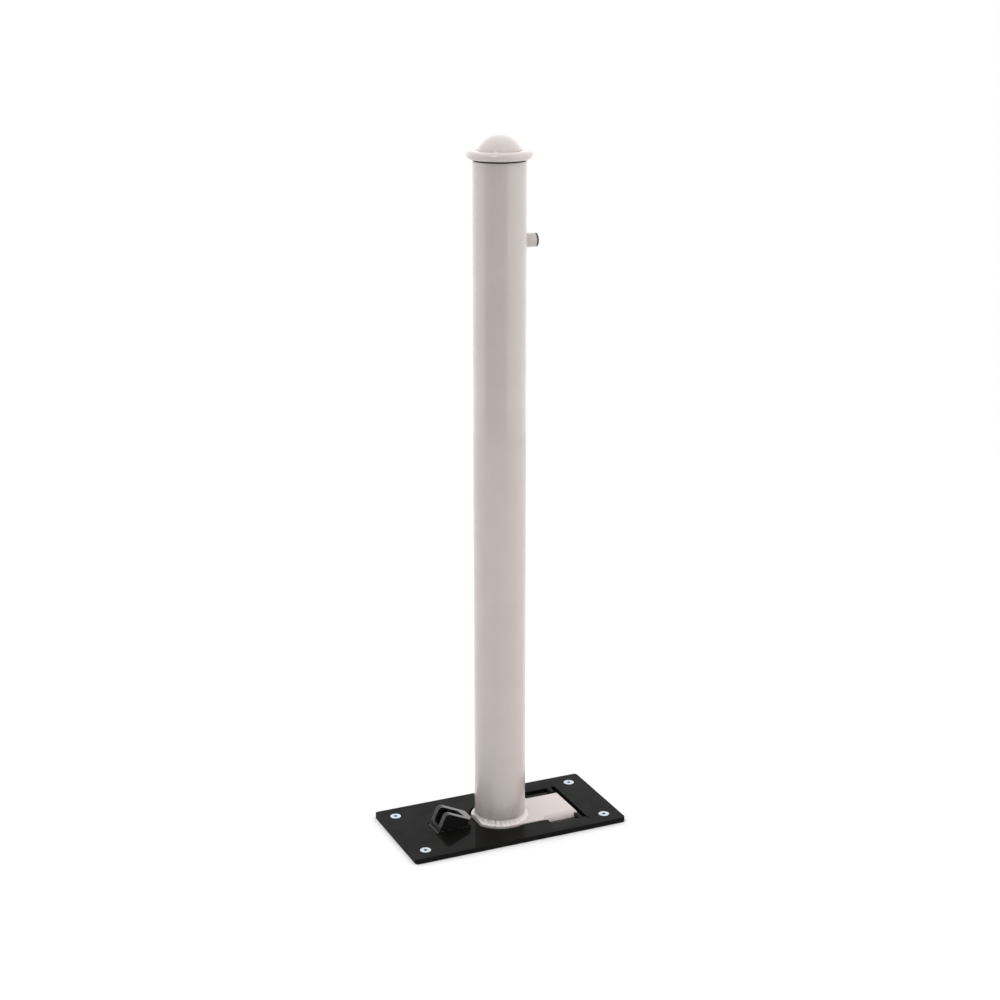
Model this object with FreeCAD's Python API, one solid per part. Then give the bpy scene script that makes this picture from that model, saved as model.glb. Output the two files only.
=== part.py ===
import FreeCAD, Part

import math
import os

# Fold-down bollard on a bolted ground plate, in millimetres.
# Origin: middle of the ground sheet's underside, on the post's axis.
# +Z is up, +X points from the post to the hinge, towards which the post folds.
# A solid that belongs to the near side lies at negative Y.

# ---------------------------------------------------------------- driving sizes
PLATE_LENGTH = 340.0
PLATE_WIDTH = 170.0
PLATE_THICKNESS = 8.0
PLATE_CORNER_RADIUS = 5.0
SHEET_THICKNESS = 0.5

ANCHOR_INSET = 24.5
ANCHOR_HOLE_RADIUS = 4.5
ANCHOR_SINK_RADIUS = 9.2
ANCHOR_SHANK_RADIUS = 4.0
ANCHOR_HEAD_RADIUS = 8.0
ANCHOR_HEAD_DROP = 0.3
ANCHOR_HEX_ACROSS_FLATS = 5.0
ANCHOR_HEX_DEPTH = 3.0

WELL_START = 59.0
WELL_END = 118.0
WELL_HALF_WIDTH = 56.4
BLOCK_DEPTH = 17.6
BLOCK_EDGE_DROP = 1.0

HINGE_Z = 4.2
HINGE_PIN_RADIUS = 2.25
HINGE_PIN_SEAT = 13.5
HINGE_END_WALL = 1.0
SPACER_WALL = 1.25
THRUST_WASHER_THICKNESS = 0.8
THRUST_WASHER_RADIUS = 3.5
SET_SCREW_RADIUS = 1.5
SET_SCREW_OFFSET = 7.0

FOOT_RISE = 1.1
FOOT_THICKNESS = 5.0
FOOT_MARGIN = 5.8
FOOT_FLAT_MARGIN = 1.0
FOOT_END_X = 112.0
LEAF_START = 60.0
LEAF_HALF_WIDTH = 40.5
LEAF_BEND_RADIUS = 12.0
LEAF_LIFT = 0.3
LEAF_END_ROUND = 3.0
LEAF_BAR_WIDTH = 7.0
NECK_TAPER = 7.0
PAD_RADIUS = 32.0

POST_RADIUS = 38.0
POST_WALL = 3.0
POST_LENGTH = 980.9
WELD_HEIGHT = 7.0
WELD_WIDTH = 5.3
WELD_SHOULDER_OUT = 3.7
WELD_SHOULDER_UP = 4.2

GASKET_THICKNESS = 2.5
GASKET_SETBACK = 2.0
CAP_RING_HEIGHT = 12.0
CAP_RING_OVERHANG = 8.6
CAP_GROOVE_DEPTH = 1.5
CAP_GROOVE_WIDTH = 1.6
DOME_RADIUS = 30.5
DOME_HEIGHT = 21.0
SPIGOT_DEPTH = 40.0
SPIGOT_WALL = 2.5
SPIGOT_TOP = 4.0
CAP_BOLT_RADIUS = 4.0
CAP_BOLT_HEAD_ACROSS_FLATS = 13.0
CAP_BOLT_HEAD_HEIGHT = 5.3
CAP_BOLT_GRIP = 10.0
CAP_WASHER_RADIUS = 8.0
CAP_WASHER_THICKNESS = 1.6

STUB_HEIGHT = 878.0
STUB_RADIUS = 10.0
STUB_REACH = 52.7
STUB_WELD_SIZE = 3.0
BUFFER_THICKNESS = 3.0
BUFFER_RADIUS = 9.5
BUFFER_SCREW_RADIUS = 2.0
BUFFER_SCREW_HEAD_RADIUS = 4.0
BUFFER_SCREW_LENGTH = 14.0
BUFFER_SCREW_SINK = 0.6

HASP_PIVOT_X = -106.9
HASP_PIVOT_Z = 4.0
HASP_THICKNESS = 3.0
HASP_WIDTH = 36.6
HASP_LEAN = 23.5
HASP_TURN = 91.2
HASP_BACK_LENGTH = 33.3
HASP_FRONT_LENGTH = 47.8
HASP_BEND_INNER_RADIUS = 4.5
HASP_KNUCKLE_WALL = 1.2
HASP_SLOT_WIDTH = 17.6
HASP_SLOT_START = 11.0
HASP_SLOT_END = 14.0
HASP_SLOT_SKEW = 3.8
HASP_NOSE_CUT_LENGTH = 9.0
HASP_NOSE_CUT_WIDTH = 12.5
HASP_FAR_CUT = 1.5
HASP_CHEEK_THICKNESS = 2.5
HASP_CHEEK_OVERLAP = 0.5
HASP_PIN_RADIUS = 2.0
HASP_PIN_OVERHANG = 6.0
KEEPER_TOP = 1.9
KEEPER_WIDTH = 12.0
KEEPER_LENGTH = 13.0
KEEPER_SCREW_INSET = 4.0
KEEPER_SCREW_RADIUS = 1.5
KEEPER_SCREW_HEAD_RADIUS = 2.8
KEEPER_SCREW_LENGTH = 5.5

RUNNING_CLEARANCE = 0.05
PRESS_CLEARANCE = 0.02
SIDE_CLEARANCE = 0.25
SLOT_CLEARANCE = 0.6
NECK_CLEARANCE = 0.8
DISC_CLEARANCE = 4.2
KEEPER_TOP_CLEARANCE = 0.05
CHEEK_CLEARANCE = 0.5
ANGLE_TOLERANCE = 0.000001

# ------------------------------------------------------------- worked-out places
HALF_LENGTH = PLATE_LENGTH / 2.0
HALF_WIDTH = PLATE_WIDTH / 2.0
FOOT_TOP = PLATE_THICKNESS + FOOT_RISE
FOOT_BOTTOM = FOOT_TOP - FOOT_THICKNESS
FOOT_DISC_RADIUS = POST_RADIUS + FOOT_MARGIN
FOOT_FLAT_X = -(POST_RADIUS + FOOT_FLAT_MARGIN)
LEAF_BOTTOM = SHEET_THICKNESS + LEAF_LIFT
BARREL_RADIUS = HINGE_Z - LEAF_BOTTOM
HINGE_X = FOOT_END_X - HINGE_PIN_RADIUS - HINGE_END_WALL
BLOCK_OUTER = WELL_HALF_WIDTH + BLOCK_DEPTH
POST_TOP = FOOT_TOP + POST_LENGTH
RING_BOTTOM = POST_TOP + GASKET_THICKNESS
RING_TOP = RING_BOTTOM + CAP_RING_HEIGHT
GROOVE_FLOOR = RING_TOP - CAP_GROOVE_DEPTH
BUFFER_END = STUB_REACH + BUFFER_THICKNESS
GASKET_RADIUS = POST_RADIUS - GASKET_SETBACK
CAP_RING_REACH = POST_RADIUS + CAP_RING_OVERHANG
HASP_HALF_WIDTH = HASP_WIDTH / 2.0
HASP_KNUCKLE_RADIUS = HASP_PIN_RADIUS + HASP_KNUCKLE_WALL
HASP_SLOT_BACK = HASP_KNUCKLE_RADIUS + SLOT_CLEARANCE
HASP_SLOT_HALF_WIDTH = HASP_HALF_WIDTH + SLOT_CLEARANCE
HASP_FRONT_ANGLE = HASP_LEAN + HASP_TURN

X_AXIS = FreeCAD.Vector(1, 0, 0)
Y_AXIS = FreeCAD.Vector(0, 1, 0)
Z_AXIS = FreeCAD.Vector(0, 0, 1)
SIDES = (-1, 1)


def vec(x, y, z):
    """A point or direction."""
    return FreeCAD.Vector(x, y, z)


def block(x_range, y_range, z_range):
    """A box between the two limits along each axis."""
    size = [high - low for low, high in (x_range, y_range, z_range)]
    return Part.makeBox(*size, vec(x_range[0], y_range[0], z_range[0]))


def rod(radius, start, direction, length):
    """A round bar from a start point along a direction."""
    return Part.makeCylinder(radius, length, start, direction)


def sleeve(outer, inner, start, direction, length):
    """A round tube from a start point along a direction."""
    return rod(outer, start, direction, length).cut(rod(inner, start, direction, length))


def extrude(points, direction):
    """A straight prism on a closed outline of points."""
    outline = Part.makePolygon(points + points[:1])
    return Part.Face(outline).extrude(direction)


def hexagon(across_flats, centre, height):
    """An upright six-sided bar, one flat facing +Y."""
    reach = across_flats / math.sqrt(3.0)
    corners = []
    for step in range(6):
        angle = math.radians(60.0 * step)
        corners.append(centre + vec(reach * math.cos(angle), reach * math.sin(angle), 0))
    return extrude(corners, vec(0, 0, height))


def edges_along(shape, direction, chosen):
    """The straight edges of a shape that run along a direction and pass a test on their middle."""
    found = []
    for edge in shape.Edges:
        run = edge.Vertexes[-1].Point - edge.Vertexes[0].Point
        if run.Length and run.normalize().cross(direction).Length < ANGLE_TOLERANCE:
            if chosen(edge.CenterOfMass):
                found.append(edge)
    return found


def one_solid(shape):
    """The shape with its seams merged, as a single solid."""
    return shape.removeSplitter().Solids[0]


def save(node, shapes):
    """Write one node's solids to its STEP file."""
    solids = [solid for shape in shapes for solid in shape.Solids]
    whole = solids[0] if len(solids) == 1 else Part.makeCompound(solids)
    whole.exportStep(os.path.join("parts", node + ".step"))


def mirrored(shape):
    """The same shape on the other side of the middle plane."""
    return shape.mirror(vec(0, 0, 0), Y_AXIS)


# -------------------------------------------------------------------- base plate
def anchor_places():
    """The four anchor screw centres on the ground."""
    x = HALF_LENGTH - ANCHOR_INSET
    y = HALF_WIDTH - ANCHOR_INSET
    return [vec(sx * x, sy * y, 0) for sx in SIDES for sy in SIDES]


def plate_outline(bottom, top):
    """A slab of the ground plate's outline between two heights, with its corners rounded."""
    slab = block((-HALF_LENGTH, HALF_LENGTH), (-HALF_WIDTH, HALF_WIDTH), (bottom, top))
    return slab.makeFillet(PLATE_CORNER_RADIUS, edges_along(slab, Z_AXIS, lambda middle: True))


def base_plate():
    """The ground plate with its foot opening, hinge well, hasp slot and anchor holes."""
    plate = plate_outline(SHEET_THICKNESS, PLATE_THICKNESS)
    neck = max(FOOT_DISC_RADIUS, LEAF_HALF_WIDTH) + NECK_CLEARANCE
    height = (0, PLATE_THICKNESS)
    plate = plate.cut(rod(FOOT_DISC_RADIUS + DISC_CLEARANCE, vec(0, 0, 0), Z_AXIS, PLATE_THICKNESS))
    plate = plate.cut(block((0, WELL_END), (-neck, neck), height))
    plate = plate.cut(block((WELL_START, WELL_END), (-BLOCK_OUTER, BLOCK_OUTER), height))
    for place in anchor_places():
        plate = plate.cut(anchor_hole(place))
    return one_solid(cut_for_hasp(plate))


def anchor_hole(place):
    """The countersunk hole that an anchor screw passes through."""
    depth = ANCHOR_SINK_RADIUS - ANCHOR_HOLE_RADIUS
    hole = rod(ANCHOR_HOLE_RADIUS, place, Z_AXIS, PLATE_THICKNESS)
    sink_bottom = place + vec(0, 0, PLATE_THICKNESS - depth)
    return hole.fuse(Part.makeCone(ANCHOR_HOLE_RADIUS, ANCHOR_SINK_RADIUS, depth, sink_bottom))


def ground_sheet():
    """The thin rubber sheet that closes the underside and lies on the ground."""
    sheet = plate_outline(0, SHEET_THICKNESS)
    for place in anchor_places():
        sheet = sheet.cut(rod(ANCHOR_HOLE_RADIUS, place, Z_AXIS, SHEET_THICKNESS))
    return one_solid(sheet)


def hasp_slot_front():
    """How far the hasp's slot in the plate runs in front of the pivot, at the plate's top."""
    lean = math.radians(HASP_LEAN)
    face = HASP_THICKNESS / 2.0 / math.cos(lean)
    return (PLATE_THICKNESS - HASP_PIVOT_Z) * math.tan(lean) + face


def cut_for_hasp(plate):
    """The plate with the slot, pin grooves and keeper pockets of the hasp taken out."""
    front = max(HASP_KNUCKLE_RADIUS, hasp_slot_front()) + SLOT_CLEARANCE
    slot_x = (HASP_PIVOT_X - HASP_SLOT_BACK, HASP_PIVOT_X + front)
    slot_y = (-HASP_SLOT_HALF_WIDTH, HASP_SLOT_HALF_WIDTH)
    plate = plate.cut(block(slot_x, slot_y, (0, PLATE_THICKNESS)))
    groove = HASP_PIN_RADIUS + RUNNING_CLEARANCE
    reach = HASP_HALF_WIDTH + HASP_PIN_OVERHANG + SIDE_CLEARANCE
    plate = plate.cut(rod(groove, vec(HASP_PIVOT_X, -reach, HASP_PIVOT_Z), Y_AXIS, 2.0 * reach))
    groove_x = (HASP_PIVOT_X - groove, HASP_PIVOT_X + groove)
    plate = plate.cut(block(groove_x, (-reach, reach), (0, HASP_PIVOT_Z)))
    for pocket in keeper_bodies(SIDE_CLEARANCE, KEEPER_TOP_CLEARANCE):
        plate = plate.cut(pocket)
    for place in keeper_screw_places():
        plate = plate.cut(rod(KEEPER_SCREW_RADIUS + PRESS_CLEARANCE, place, Z_AXIS, KEEPER_SCREW_LENGTH))
    return plate


def anchor_screw(place):
    """A countersunk socket screw, cut off level with the underside of the sheet."""
    top = PLATE_THICKNESS - ANCHOR_HEAD_DROP
    cone = ANCHOR_HEAD_RADIUS - ANCHOR_SHANK_RADIUS
    shank = rod(ANCHOR_SHANK_RADIUS, place, Z_AXIS, top - cone)
    head = Part.makeCone(ANCHOR_SHANK_RADIUS, ANCHOR_HEAD_RADIUS, cone, place + vec(0, 0, top - cone))
    socket_floor = place + vec(0, 0, top - ANCHOR_HEX_DEPTH)
    socket = hexagon(ANCHOR_HEX_ACROSS_FLATS, socket_floor, ANCHOR_HEX_DEPTH)
    return one_solid(shank.fuse(head).cut(socket))


def hinge_block():
    """The far block that closes the well's side and holds one end of the hinge pin."""
    outline = [
        vec(WELL_START, WELL_HALF_WIDTH, SHEET_THICKNESS),
        vec(WELL_START, BLOCK_OUTER, SHEET_THICKNESS),
        vec(WELL_START, BLOCK_OUTER, PLATE_THICKNESS),
        vec(WELL_START, WELL_HALF_WIDTH, PLATE_THICKNESS - BLOCK_EDGE_DROP),
    ]
    shape = extrude(outline, vec(WELL_END - WELL_START, 0, 0))
    bore = HINGE_PIN_RADIUS + PRESS_CLEARANCE
    mouth = vec(HINGE_X, WELL_HALF_WIDTH, HINGE_Z)
    shape = shape.cut(rod(bore, mouth, Y_AXIS, HINGE_PIN_SEAT + SIDE_CLEARANCE))
    thread = rod(SET_SCREW_RADIUS + PRESS_CLEARANCE, set_screw_place(), Z_AXIS, HINGE_Z - SHEET_THICKNESS)
    shape = shape.cut(thread)
    return one_solid(shape)


def set_screw_place():
    """Where the far pin set screw enters, on the underside of its block."""
    return vec(HINGE_X, WELL_HALF_WIDTH + SET_SCREW_OFFSET, SHEET_THICKNESS)


def set_screw():
    """The far grub screw, which presses on the hinge pin from below."""
    return rod(SET_SCREW_RADIUS, set_screw_place(), Z_AXIS, HINGE_Z - HINGE_PIN_RADIUS - SHEET_THICKNESS)


def hinge_pin():
    """The long pin that the foot turns on."""
    reach = WELL_HALF_WIDTH + HINGE_PIN_SEAT
    return rod(HINGE_PIN_RADIUS, vec(HINGE_X, -reach, HINGE_Z), Y_AXIS, 2.0 * reach)


def thrust_washer():
    """The far washer between the foot's leaf and its spacer."""
    start = vec(HINGE_X, LEAF_HALF_WIDTH + SIDE_CLEARANCE, HINGE_Z)
    bore = HINGE_PIN_RADIUS + RUNNING_CLEARANCE
    return sleeve(THRUST_WASHER_RADIUS, bore, start, Y_AXIS, THRUST_WASHER_THICKNESS)


def hinge_spacer():
    """The far sleeve on the pin that keeps the foot in the middle of the well."""
    start_y = LEAF_HALF_WIDTH + SIDE_CLEARANCE + THRUST_WASHER_THICKNESS
    bore = HINGE_PIN_RADIUS + RUNNING_CLEARANCE
    start = vec(HINGE_X, start_y, HINGE_Z)
    return sleeve(HINGE_PIN_RADIUS + SPACER_WALL, bore, start, Y_AXIS, WELL_HALF_WIDTH - start_y)


# ------------------------------------------------------------------------- hasp
def hasp_pin():
    """The pin that the hasp turns on, under the ground plate's top."""
    reach = HASP_HALF_WIDTH + HASP_PIN_OVERHANG
    return rod(HASP_PIN_RADIUS, vec(HASP_PIVOT_X, -reach, HASP_PIVOT_Z), Y_AXIS, 2.0 * reach)


def keeper_bodies(margin, top_margin):
    """The two keeper plates, each grown by a margin all round and another above."""
    inner = HASP_SLOT_HALF_WIDTH + SIDE_CLEARANCE
    far = block(
        (HASP_PIVOT_X - KEEPER_WIDTH / 2.0 - margin, HASP_PIVOT_X + KEEPER_WIDTH / 2.0 + margin),
        (inner - margin, inner + KEEPER_LENGTH + margin),
        (SHEET_THICKNESS, KEEPER_TOP + top_margin),
    )
    return [mirrored(far), far]


def keeper_screw_places():
    """Where the two keeper screws enter, on the underside."""
    y = HASP_SLOT_HALF_WIDTH + SIDE_CLEARANCE + KEEPER_LENGTH - KEEPER_SCREW_INSET
    return [vec(HASP_PIVOT_X, side * y, SHEET_THICKNESS) for side in SIDES]


def keeper_screw(place, margin):
    """A small countersunk screw driven up through a keeper, grown by a margin on its radius."""
    cone = KEEPER_SCREW_HEAD_RADIUS - KEEPER_SCREW_RADIUS
    head = Part.makeCone(KEEPER_SCREW_HEAD_RADIUS + margin, KEEPER_SCREW_RADIUS + margin, cone, place)
    shank = rod(KEEPER_SCREW_RADIUS + margin, place, Z_AXIS, KEEPER_SCREW_LENGTH)
    return one_solid(head.fuse(shank))


def hasp_pin_keepers():
    """The two plates that hold the hasp pin up in its grooves."""
    keepers = []
    for body, place in zip(keeper_bodies(0.0, 0.0), keeper_screw_places()):
        keepers.append(one_solid(body.cut(keeper_screw(place, PRESS_CLEARANCE))))
    return keepers


def along(start, angle, distance):
    """A point in the XZ plane at a distance from another, the angle counted from +Z to +X."""
    turn = math.radians(angle)
    return start + vec(distance * math.sin(turn), 0, distance * math.cos(turn))


def hasp_strip(half_thickness, half_width, start_run, end_run):
    """The bent strip between two places along its legs.

    The runs are counted from the pivot up the back leg and from the bend's corner down the front leg.
    """
    pivot = vec(HASP_PIVOT_X, 0, HASP_PIVOT_Z)
    corner = hasp_corner()
    middle_radius = HASP_BEND_INNER_RADIUS + HASP_THICKNESS / 2.0
    tangent = middle_radius * math.tan(math.radians(HASP_TURN / 2.0))
    bend_start = along(corner, HASP_LEAN, -tangent)
    bend_end = along(corner, HASP_FRONT_ANGLE, tangent)
    centre = along(bend_start, HASP_LEAN + 90.0, middle_radius)
    half_way = HASP_LEAN - 90.0 + HASP_TURN / 2.0

    def face_points(offset):
        """One face's points: start, bend's start, middle and end, and the strip's end."""
        start = along(along(pivot, HASP_LEAN, start_run), HASP_LEAN - 90.0, offset)
        before = along(bend_start, HASP_LEAN - 90.0, offset)
        middle = along(centre, half_way, middle_radius + offset)
        after = along(bend_end, HASP_FRONT_ANGLE - 90.0, offset)
        return start, before, middle, after, hasp_front_point(end_run, offset)

    outer = face_points(half_thickness)
    inner = face_points(-half_thickness)
    edges = [
        Part.makeLine(outer[0], outer[1]),
        Part.Arc(outer[1], outer[2], outer[3]).toShape(),
        Part.makeLine(outer[3], outer[4]),
        Part.makeLine(outer[4], inner[4]),
        Part.makeLine(inner[4], inner[3]),
        Part.Arc(inner[3], inner[2], inner[1]).toShape(),
        Part.makeLine(inner[1], inner[0]),
        Part.makeLine(inner[0], outer[0]),
    ]
    side = Part.Face(Part.Wire(edges))
    side.translate(vec(0, -half_width, 0))
    return side.extrude(vec(0, 2.0 * half_width, 0))


def hasp_corner():
    """Where the middles of the hasp's two legs would meet."""
    return along(vec(HASP_PIVOT_X, 0, HASP_PIVOT_Z), HASP_LEAN, HASP_BACK_LENGTH)


def hasp_front_point(run, offset):
    """A point at a run down the front leg, raised off its middle by an offset."""
    return along(along(hasp_corner(), HASP_FRONT_ANGLE, run), HASP_FRONT_ANGLE - 90.0, offset)


def hasp_front_prism(corners):
    """A prism through the front leg, on corners given as a run down the leg and a Y."""
    through = hasp_front_point(0, HASP_THICKNESS) - hasp_front_point(0, -HASP_THICKNESS)
    return extrude([hasp_front_point(run, -HASP_THICKNESS) + vec(0, y, 0) for run, y in corners], through)


def lock_hasp():
    """The bent lock hasp with its cheeks, long slot, cut nose and rolled knuckle."""
    pivot = vec(HASP_PIVOT_X, -HASP_HALF_WIDTH, HASP_PIVOT_Z)
    strip = hasp_strip(HASP_THICKNESS / 2.0, HASP_HALF_WIDTH, 0.0, HASP_FRONT_LENGTH)
    slot_half = HASP_SLOT_WIDTH / 2.0
    slot_end = HASP_FRONT_LENGTH - HASP_SLOT_END
    square_end = slot_end - HASP_SLOT_SKEW
    slot = hasp_strip(HASP_THICKNESS, slot_half, HASP_SLOT_START, square_end)
    slant = [(square_end, -slot_half), (slot_end, -slot_half), (square_end, slot_half)]
    shape = strip.fuse(rod(HASP_KNUCKLE_RADIUS, pivot, Y_AXIS, HASP_WIDTH))
    shape = shape.fuse(mirrored(hasp_cheek())).fuse(hasp_cheek()).cut(slot)
    shape = shape.cut(hasp_front_prism(slant))
    near_cut = hasp_corner_cut(-1, HASP_NOSE_CUT_LENGTH, HASP_NOSE_CUT_WIDTH)
    far_cut = hasp_corner_cut(1, HASP_FAR_CUT, HASP_FAR_CUT)
    shape = shape.cut(near_cut).cut(far_cut)
    shape = shape.cut(rod(HASP_PIN_RADIUS + RUNNING_CLEARANCE, pivot, Y_AXIS, HASP_WIDTH))
    return one_solid(shape)


def hasp_cheek():
    """The far side wall that closes the hasp from its legs down to just above the plate."""
    inset = HASP_CHEEK_OVERLAP - HASP_THICKNESS / 2.0
    bottom = PLATE_THICKNESS + CHEEK_CLEARANCE
    lean = math.radians(HASP_LEAN)
    foot_x = HASP_PIVOT_X + (bottom - HASP_PIVOT_Z) * math.tan(lean) - inset / math.cos(lean)
    turn_in = -inset * math.tan(math.radians(HASP_TURN / 2.0))
    inner_corner = hasp_front_point(turn_in, inset)
    front = hasp_front_point(HASP_FRONT_LENGTH - HASP_NOSE_CUT_LENGTH, inset)
    corners = [vec(foot_x, 0, bottom), inner_corner, front, vec(front.x, 0, bottom)]
    start = vec(0, HASP_HALF_WIDTH - HASP_CHEEK_THICKNESS, 0)
    return extrude([corner + start for corner in corners], vec(0, HASP_CHEEK_THICKNESS, 0))


def hasp_corner_cut(side, length, width):
    """The wedge that cuts one corner off the nose, by a length along it and a width across it."""
    edge = side * HASP_HALF_WIDTH
    end = HASP_FRONT_LENGTH
    return hasp_front_prism([
        (end - length, edge),
        (end, edge - side * width),
        (end + length, edge - side * width),
        (end + length, 2.0 * edge),
        (end - length, 2.0 * edge),
    ])


# ------------------------------------------------------------------------- foot
def leaf_section(half_width, top, bottom, radius, x_range):
    """A bar along X with its two top edges rounded."""
    bar = block(x_range, (-half_width, half_width), (bottom, top))
    middle_height = (bottom + top) / 2.0
    return bar.makeFillet(radius, edges_along(bar, X_AXIS, lambda middle: middle.z > middle_height))


def foot_neck():
    """The flat plate under the post with its neck, its left end cut off straight."""
    disc = rod(FOOT_DISC_RADIUS, vec(0, 0, FOOT_BOTTOM), Z_AXIS, FOOT_THICKNESS)
    taper_start = LEAF_START - NECK_TAPER
    leaf_half = LEAF_HALF_WIDTH - LEAF_BEND_RADIUS
    outline = [
        vec(0, -FOOT_DISC_RADIUS, FOOT_BOTTOM),
        vec(taper_start, -FOOT_DISC_RADIUS, FOOT_BOTTOM),
        vec(LEAF_START, -leaf_half, FOOT_BOTTOM),
        vec(LEAF_START, leaf_half, FOOT_BOTTOM),
        vec(taper_start, FOOT_DISC_RADIUS, FOOT_BOTTOM),
        vec(0, FOOT_DISC_RADIUS, FOOT_BOTTOM),
    ]
    neck = extrude(outline, vec(0, 0, FOOT_THICKNESS))
    blunt = block((-FOOT_DISC_RADIUS, FOOT_FLAT_X), (-FOOT_DISC_RADIUS, FOOT_DISC_RADIUS), (0, FOOT_TOP))
    return disc.fuse(neck).cut(blunt)


def foot_leaf():
    """The bent-down leaf, hollow underneath up to the solid bar that turns on the pin."""
    x_range = (LEAF_START - NECK_TAPER, FOOT_END_X)
    depth = 2.0 * LEAF_BEND_RADIUS
    leaf = leaf_section(LEAF_HALF_WIDTH, FOOT_TOP, FOOT_TOP - depth, LEAF_BEND_RADIUS, x_range)
    hollow_x = (LEAF_START, HINGE_X - LEAF_BAR_WIDTH)
    inner_half = LEAF_HALF_WIDTH - FOOT_THICKNESS
    inner_radius = LEAF_BEND_RADIUS - FOOT_THICKNESS
    hollow = leaf_section(inner_half, FOOT_BOTTOM, FOOT_BOTTOM - depth, inner_radius, hollow_x)
    y_range = (-LEAF_HALF_WIDTH, LEAF_HALF_WIDTH)
    bar = block(x_range, y_range, (LEAF_BOTTOM, FOOT_TOP))
    top_end = edges_along(bar, Y_AXIS, lambda middle: middle.x > HINGE_X and middle.z > HINGE_Z)
    bar = bar.makeFillet(LEAF_END_ROUND, top_end)
    below = block((HINGE_X, FOOT_END_X), y_range, (LEAF_BOTTOM, HINGE_Z))
    start = vec(HINGE_X, -LEAF_HALF_WIDTH, HINGE_Z)
    barrel = rod(BARREL_RADIUS, start, Y_AXIS, 2.0 * LEAF_HALF_WIDTH)
    return leaf.common(bar.cut(below.cut(barrel))).cut(hollow)


def foot_plate():
    """The plate under the post, bent down at its hinge end and bored for the hinge pin."""
    start = vec(HINGE_X, -LEAF_HALF_WIDTH, HINGE_Z)
    bore = rod(HINGE_PIN_RADIUS + RUNNING_CLEARANCE, start, Y_AXIS, 2.0 * LEAF_HALF_WIDTH)
    return one_solid(foot_neck().fuse(foot_leaf()).cut(bore))


def foot_pad():
    """The rubber pad under the foot that meets the ground sheet when the post stands."""
    return rod(PAD_RADIUS, vec(0, 0, SHEET_THICKNESS), Z_AXIS, FOOT_BOTTOM - SHEET_THICKNESS)


def foot_weld():
    """The weld bead round the foot of the post."""
    outline = [
        vec(POST_RADIUS, 0, FOOT_TOP),
        vec(POST_RADIUS + WELD_WIDTH, 0, FOOT_TOP),
        vec(POST_RADIUS + WELD_SHOULDER_OUT, 0, FOOT_TOP + WELD_SHOULDER_UP),
        vec(POST_RADIUS, 0, FOOT_TOP + WELD_HEIGHT),
    ]
    bead = Part.Face(Part.makePolygon(outline + outline[:1])).revolve(vec(0, 0, 0), Z_AXIS, 360)
    reach = POST_RADIUS + WELD_WIDTH
    blunt = block((-reach, FOOT_FLAT_X), (-reach, reach), (FOOT_TOP, FOOT_TOP + WELD_HEIGHT))
    return one_solid(bead.cut(blunt))


# ------------------------------------------------------------------------- post
def post_tube():
    """The round post."""
    return sleeve(POST_RADIUS, POST_RADIUS - POST_WALL, vec(0, 0, FOOT_TOP), Z_AXIS, POST_LENGTH)


def post_envelope():
    """The full round bar of the post round the stub's height, for cutting pieces to its curve."""
    reach = STUB_RADIUS * 2.0
    return rod(POST_RADIUS, vec(0, 0, STUB_HEIGHT - reach), Z_AXIS, 2.0 * reach)


def rest_stub():
    """The short bar that the folded post rests on."""
    bar = rod(STUB_RADIUS, vec(0, 0, STUB_HEIGHT), X_AXIS, STUB_REACH).cut(post_envelope())
    tip = vec(BUFFER_END, 0, STUB_HEIGHT)
    return one_solid(bar.cut(rod(BUFFER_SCREW_RADIUS + PRESS_CLEARANCE, tip, -X_AXIS, BUFFER_SCREW_LENGTH)))


def stub_weld():
    """The weld bead round the stub's root."""
    root = math.sqrt(POST_RADIUS ** 2 - (STUB_RADIUS + STUB_WELD_SIZE) ** 2)
    height = POST_RADIUS - root + STUB_WELD_SIZE
    cone = Part.makeCone(STUB_RADIUS + STUB_WELD_SIZE, STUB_RADIUS, height, vec(root, 0, STUB_HEIGHT), X_AXIS)
    bar = rod(STUB_RADIUS, vec(0, 0, STUB_HEIGHT), X_AXIS, STUB_REACH)
    return one_solid(cone.cut(bar).cut(post_envelope()))


def stub_buffer():
    """The rubber buffer on the stub's tip."""
    puck = rod(BUFFER_RADIUS, vec(STUB_REACH, 0, STUB_HEIGHT), X_AXIS, BUFFER_THICKNESS)
    return one_solid(puck.cut(buffer_screw(PRESS_CLEARANCE)).cut(buffer_screw_mouth()))


def buffer_screw_mouth():
    """The shallow mouth in which the buffer screw's head sits below the rubber."""
    start = vec(BUFFER_END - BUFFER_SCREW_SINK, 0, STUB_HEIGHT)
    return rod(BUFFER_SCREW_HEAD_RADIUS + PRESS_CLEARANCE, start, X_AXIS, BUFFER_SCREW_SINK)


def buffer_screw(margin):
    """The countersunk screw that holds the buffer, grown by a margin on its radius."""
    cone = BUFFER_SCREW_HEAD_RADIUS - BUFFER_SCREW_RADIUS
    face = vec(BUFFER_END - BUFFER_SCREW_SINK, 0, STUB_HEIGHT)
    head = Part.makeCone(BUFFER_SCREW_HEAD_RADIUS + margin, BUFFER_SCREW_RADIUS + margin, cone, face, -X_AXIS)
    length = BUFFER_SCREW_LENGTH - BUFFER_SCREW_SINK
    return one_solid(head.fuse(rod(BUFFER_SCREW_RADIUS + margin, face, -X_AXIS, length)))


# -------------------------------------------------------------------------- cap
def cap_gasket():
    """The thin dark seal between the tube's rim and the cap ring."""
    inner = POST_RADIUS - POST_WALL + SIDE_CLEARANCE
    return sleeve(GASKET_RADIUS, inner, vec(0, 0, POST_TOP), Z_AXIS, GASKET_THICKNESS)


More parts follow.
